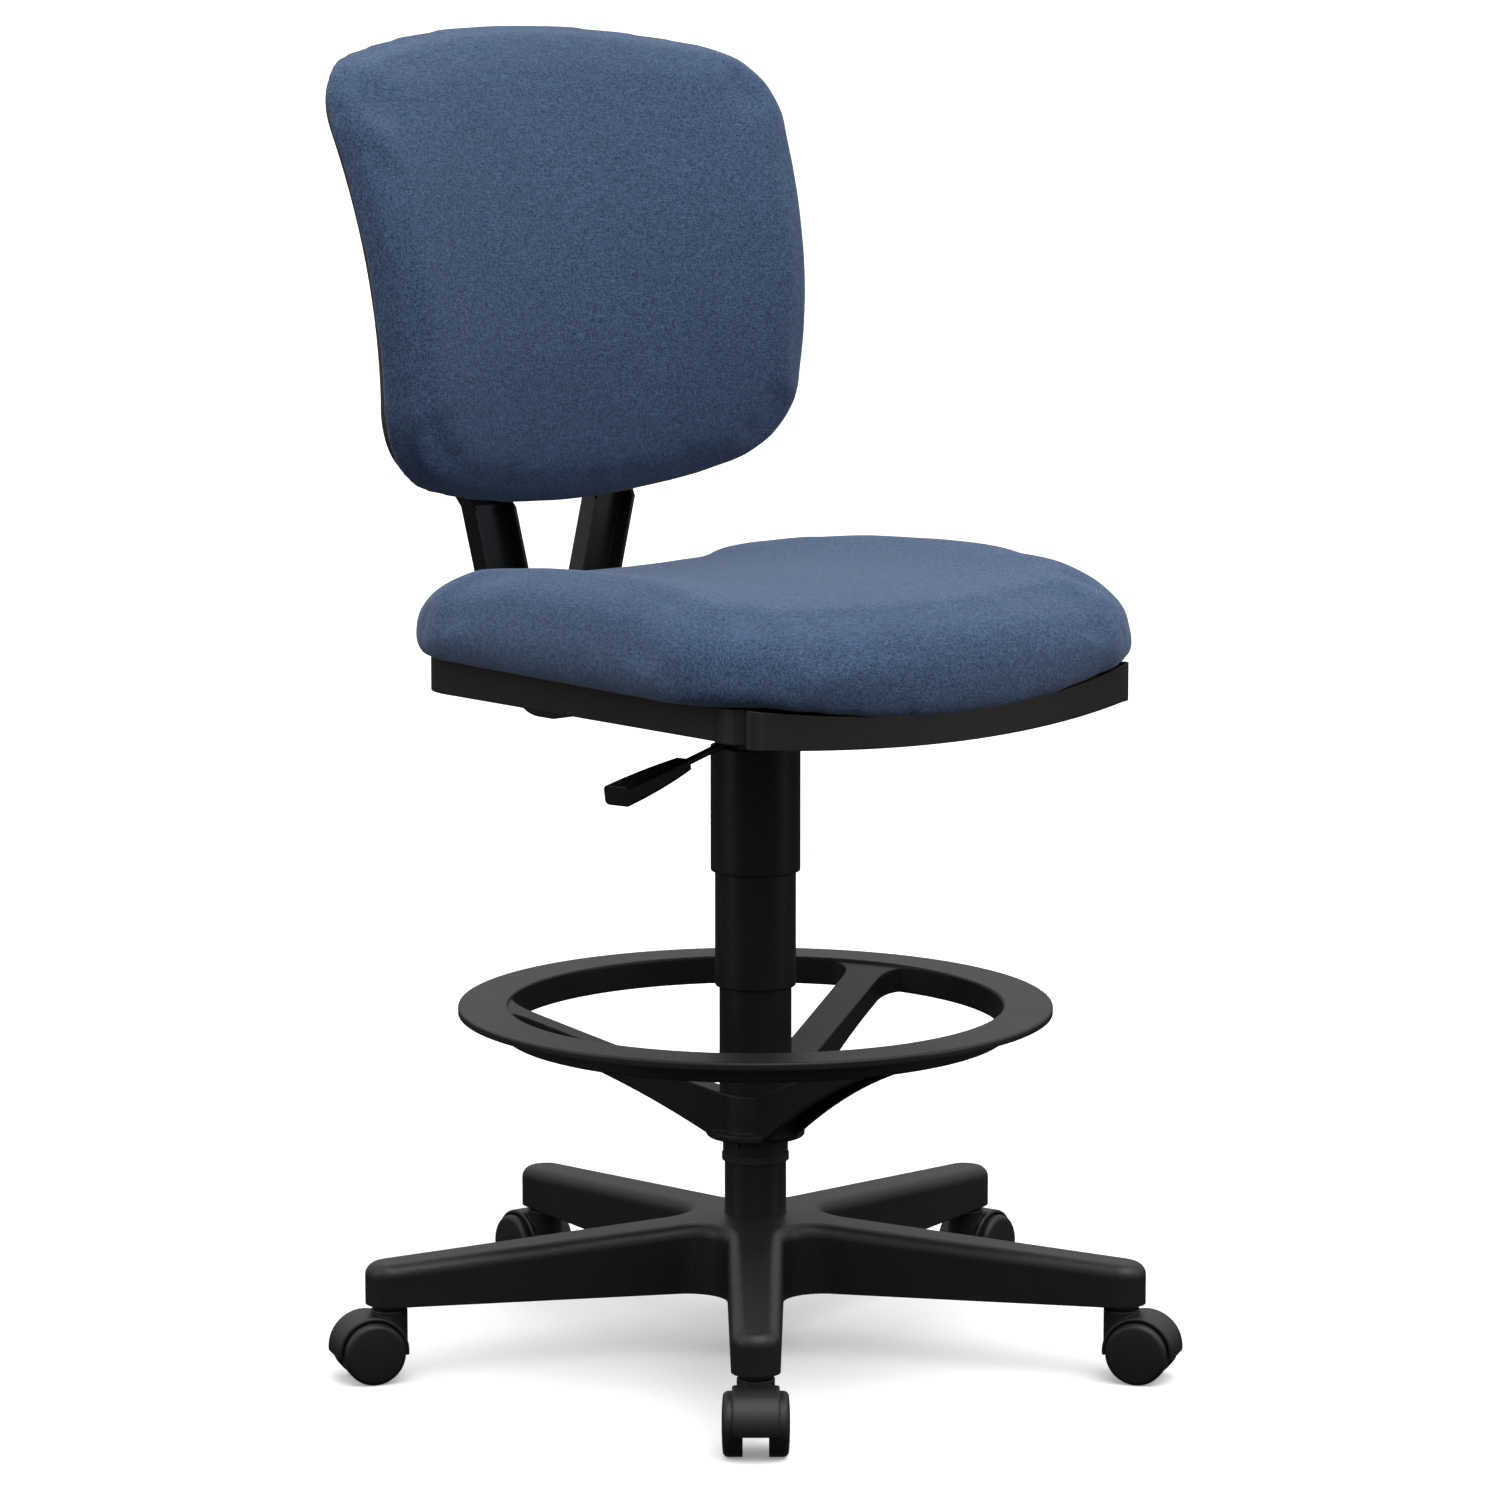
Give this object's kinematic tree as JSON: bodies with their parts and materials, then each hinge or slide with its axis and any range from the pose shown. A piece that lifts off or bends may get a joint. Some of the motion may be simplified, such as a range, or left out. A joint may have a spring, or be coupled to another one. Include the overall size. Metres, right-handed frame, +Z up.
{
  "type": "drafting chair",
  "caption": "Armless drafting chair with padded seat and curved back, gas-lift column with telescoping covers, adjustable foot ring and a five-leg castor base.",
  "frame": {"origin": "on the floor, under the axis of the column", "axes": "+Z up along the column; the sitter faces -Y and the height lever is on their right, -X"},
  "size_m": [0.6781, 0.6671, 1.066],
  "materials": {
    "black_nylon": "fine-textured satin glass-filled nylon",
    "cover_plastic": "satin black moulded plastic",
    "shell_plastic": "fine-grained satin black polypropylene",
    "lever_plastic": "satin black plastic",
    "castor_plastic": "satin black nylon",
    "wheel_nylon": "hard black nylon tread",
    "bush_plastic": "natural acetal",
    "bush_black": "black acetal",
    "board_plastic": "moulded inner board",
    "black_steel": "black powder coat",
    "bright_steel": "bright ground steel",
    "zinc_steel": "zinc plated",
    "black_rubber": "soft black rubber",
    "plywood": "birch plywood",
    "blue_fabric": "heathered blue woven polyester over foam"
  },
  "bodies": {
    "base": {"base_star": "black_nylon", "castor_stems": "bright_steel", "castor_grip_rings": "bush_black", "stand_tube": "black_steel", "guide_bush": "bush_plastic", "lower_race": "bright_steel", "ball_cage": "bush_plastic", "thrust_balls": "bright_steel"},
    "foot_ring_body": {"foot_ring": "black_nylon", "ring_collet": "bush_black", "collet_band": "black_rubber", "cover_lower": "cover_plastic"},
    "swivel": {"upper_race": "bright_steel", "rod_bumper": "black_rubber", "retaining_clip": "bright_steel", "piston_rod": "bright_steel", "piston": "bright_steel"},
    "middle_cover": {"cover_middle": "cover_plastic"},
    "seat": {"gas_cylinder": "black_steel", "cylinder_gland": "black_rubber", "cover_upper": "cover_plastic", "seat_plate": "black_steel", "lever_pivot_pin": "bright_steel", "seat_shell": "shell_plastic", "seat_board": "plywood", "seat_tee_nuts": "zinc_steel", "seat_bolts": "zinc_steel", "shell_screws": "zinc_steel", "seat_cushion": "blue_fabric", "back_bracket": "black_steel", "bracket_bolts": "zinc_steel", "back_board": "board_plastic", "back_cover": "shell_plastic", "back_bolts": "zinc_steel", "back_cushion": "blue_fabric"},
    "lever": {"lever_rod": "black_steel", "lever_paddle": "lever_plastic"},
    "valve": {"valve_pin": "bright_steel"},
    "castor_1": {"castor_1_hood": "castor_plastic", "castor_1_axle": "bright_steel"},
    "castor_1_wheel_left": {"castor_1_wheel_left": "wheel_nylon"},
    "castor_1_wheel_right": {"castor_1_wheel_right": "wheel_nylon"},
    "castor_2": {"castor_2_hood": "castor_plastic", "castor_2_axle": "bright_steel"},
    "castor_2_wheel_left": {"castor_2_wheel_left": "wheel_nylon"},
    "castor_2_wheel_right": {"castor_2_wheel_right": "wheel_nylon"},
    "castor_3": {"castor_3_hood": "castor_plastic", "castor_3_axle": "bright_steel"},
    "castor_3_wheel_left": {"castor_3_wheel_left": "wheel_nylon"},
    "castor_3_wheel_right": {"castor_3_wheel_right": "wheel_nylon"},
    "castor_4": {"castor_4_hood": "castor_plastic", "castor_4_axle": "bright_steel"},
    "castor_4_wheel_left": {"castor_4_wheel_left": "wheel_nylon"},
    "castor_4_wheel_right": {"castor_4_wheel_right": "wheel_nylon"},
    "castor_5": {"castor_5_hood": "castor_plastic", "castor_5_axle": "bright_steel"},
    "castor_5_wheel_left": {"castor_5_wheel_left": "wheel_nylon"},
    "castor_5_wheel_right": {"castor_5_wheel_right": "wheel_nylon"}
  },
  "joints": [
    {"name": "seat_swivel", "type": "hinge", "parent": "base", "child": "swivel", "pos_m": [0, 0, 0.07], "axis": [0, 0, 1], "continuous": true},
    {"name": "seat_lift", "type": "slide", "parent": "swivel", "child": "seat", "axis": [0, 0, 1], "range_m": [-0.07, 0.09]},
    {"name": "middle_cover_slide", "type": "slide", "parent": "swivel", "child": "middle_cover", "axis": [0, 0, 1], "range_m": [-0.035, 0.045]},
    {"name": "foot_ring_slide", "type": "slide", "parent": "base", "child": "foot_ring_body", "axis": [0, 0, 1], "range_m": [-0.025, 0.04]},
    {"name": "height_lever", "type": "hinge", "parent": "seat", "child": "lever", "pos_m": [-0.02934, -0.00624, 0.50442], "axis": [-0.2079, 0.9781, 0], "range_deg": [0, 5.7], "stiffness_Nm_per_rad": 1.5, "springref_deg": -8.59},
    {"name": "valve_press", "type": "slide", "parent": "seat", "child": "valve", "axis": [0, 0, 1], "range_m": [-0.003, 0]},
    {"name": "castor_1_swivel", "type": "hinge", "parent": "base", "child": "castor_1", "pos_m": [-0.20542, -0.22814, 0.045], "axis": [0, 0, 1], "continuous": true},
    {"name": "castor_1_roll_left", "type": "hinge", "parent": "castor_1", "child": "castor_1_wheel_left", "pos_m": [-0.2168, -0.24078, 0.025], "axis": [0.7431, -0.6691, 0], "continuous": true},
    {"name": "castor_1_roll_right", "type": "hinge", "parent": "castor_1", "child": "castor_1_wheel_right", "pos_m": [-0.2168, -0.24078, 0.025], "axis": [0.7431, -0.6691, 0], "continuous": true},
    {"name": "castor_2_swivel", "type": "hinge", "parent": "base", "child": "castor_2", "pos_m": [0.1535, -0.26587, 0.045], "axis": [0, 0, 1], "continuous": true},
    {"name": "castor_2_roll_left", "type": "hinge", "parent": "castor_2", "child": "castor_2_wheel_left", "pos_m": [0.162, -0.28059, 0.025], "axis": [0.866, 0.5, 0], "continuous": true},
    {"name": "castor_2_roll_right", "type": "hinge", "parent": "castor_2", "child": "castor_2_wheel_right", "pos_m": [0.162, -0.28059, 0.025], "axis": [0.866, 0.5, 0], "continuous": true},
    {"name": "castor_3_swivel", "type": "hinge", "parent": "base", "child": "castor_3", "pos_m": [0.30029, 0.06383, 0.045], "axis": [0, 0, 1], "continuous": true},
    {"name": "castor_3_roll_left", "type": "hinge", "parent": "castor_3", "child": "castor_3_wheel_left", "pos_m": [0.31692, 0.06736, 0.025], "axis": [-0.2079, 0.9781, 0], "continuous": true},
    {"name": "castor_3_roll_right", "type": "hinge", "parent": "castor_3", "child": "castor_3_wheel_right", "pos_m": [0.31692, 0.06736, 0.025], "axis": [-0.2079, 0.9781, 0], "continuous": true},
    {"name": "castor_4_swivel", "type": "hinge", "parent": "base", "child": "castor_4", "pos_m": [0.03209, 0.30532, 0.045], "axis": [0, 0, 1], "continuous": true},
    {"name": "castor_4_roll_left", "type": "hinge", "parent": "castor_4", "child": "castor_4_wheel_left", "pos_m": [0.03387, 0.32222, 0.025], "axis": [-0.9945, 0.1045, 0], "continuous": true},
    {"name": "castor_4_roll_right", "type": "hinge", "parent": "castor_4", "child": "castor_4_wheel_right", "pos_m": [0.03387, 0.32222, 0.025], "axis": [-0.9945, 0.1045, 0], "continuous": true},
    {"name": "castor_5_swivel", "type": "hinge", "parent": "base", "child": "castor_5", "pos_m": [-0.28046, 0.12487, 0.045], "axis": [0, 0, 1], "continuous": true},
    {"name": "castor_5_roll_left", "type": "hinge", "parent": "castor_5", "child": "castor_5_wheel_left", "pos_m": [-0.29599, 0.13178, 0.025], "axis": [-0.4067, -0.9135, 0], "continuous": true},
    {"name": "castor_5_roll_right", "type": "hinge", "parent": "castor_5", "child": "castor_5_wheel_right", "pos_m": [-0.29599, 0.13178, 0.025], "axis": [-0.4067, -0.9135, 0], "continuous": true}
  ],
  "couplings": [
    {"joint": "middle_cover_slide", "follows": "seat_lift", "ratio": 0.5},
    {"joint": "valve_press", "follows": "height_lever", "m_per_rad": -0.03}
  ]
}
